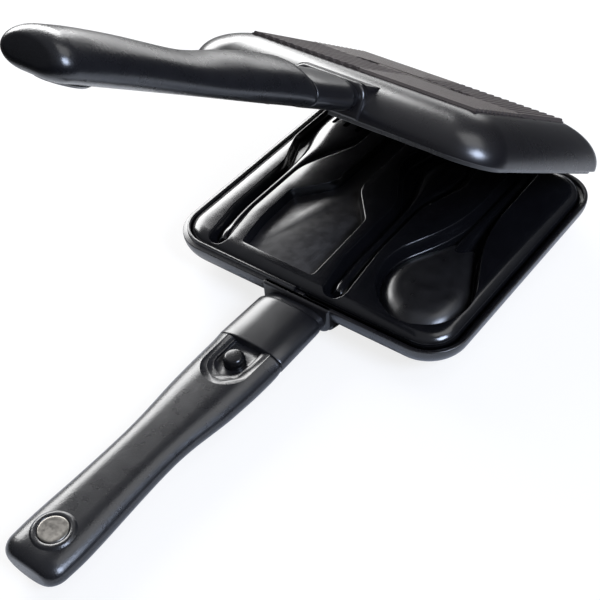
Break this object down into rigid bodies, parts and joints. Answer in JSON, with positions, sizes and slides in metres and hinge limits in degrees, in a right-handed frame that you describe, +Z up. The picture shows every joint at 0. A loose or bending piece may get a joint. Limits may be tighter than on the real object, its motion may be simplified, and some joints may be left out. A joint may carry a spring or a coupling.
{
  "type": "pie iron",
  "caption": "Double pan of cast halves on a hook hinge, with ridged bases, plug-on handles on push-button catches and a utensil tray inside, for toasting a filled sandwich over a burner.",
  "frame": {"origin": "middle of the lower pan's griddle plate, on the plane of its ridge tops", "axes": "+Y to the hinge, -Y to the handles, +Z up, the parting plane level"},
  "size_m": [0.185, 0.3911, 0.2486],
  "materials": {
    "pan_coating": "satin",
    "neck_moulding": "satin",
    "handle_moulding": "matte",
    "button_moulding": "gloss",
    "tray_moulding": "satin",
    "steel": "satin",
    "nickel": "satin"
  },
  "bodies": {
    "lower_half": {"lower_pan": "pan_coating", "lower_hinge_pin": "steel", "lower_neck": "neck_moulding", "lower_neck_screw": "steel", "lower_screw_washer": "steel", "lower_handle": "handle_moulding", "lower_button_spring": "steel", "lower_spring_seat": "neck_moulding", "lower_magnet": "nickel"},
    "upper_half": {"upper_pan": "pan_coating", "upper_hinge_pin": "steel", "upper_neck": "neck_moulding", "upper_neck_screw": "steel", "upper_screw_washer": "steel", "upper_handle": "handle_moulding", "upper_button_spring": "steel", "upper_spring_seat": "neck_moulding", "upper_magnet": "nickel"},
    "lower_catch": {"lower_button": "button_moulding"},
    "upper_catch": {"upper_button": "button_moulding"},
    "tray": {"utensil_tray": "tray_moulding"}
  },
  "joints": [
    {"name": "lid_hinge", "type": "hinge", "parent": "lower_half", "child": "upper_half", "pos_m": [0, 0.0994, 0.0225], "axis": [-1, 0, 0], "range_deg": [-33.46, 146.54]},
    {"name": "lower_button_press", "type": "slide", "parent": "lower_half", "child": "lower_catch", "axis": [0, 0, -1], "range_m": [0, 0.0066], "stiffness_N_per_m": 800, "springref_m": -0.003, "deforming": ["lower_button_spring"]},
    {"name": "upper_button_press", "type": "slide", "parent": "upper_half", "child": "upper_catch", "axis": [0, 0.5514, 0.8343], "range_m": [0, 0.0066], "stiffness_N_per_m": 800, "springref_m": -0.003, "deforming": ["upper_button_spring"]},
    {"name": "tray_lift", "type": "slide", "parent": "lower_half", "child": "tray", "axis": [0, 0, 1], "range_m": [0, 0.004]}
  ]
}
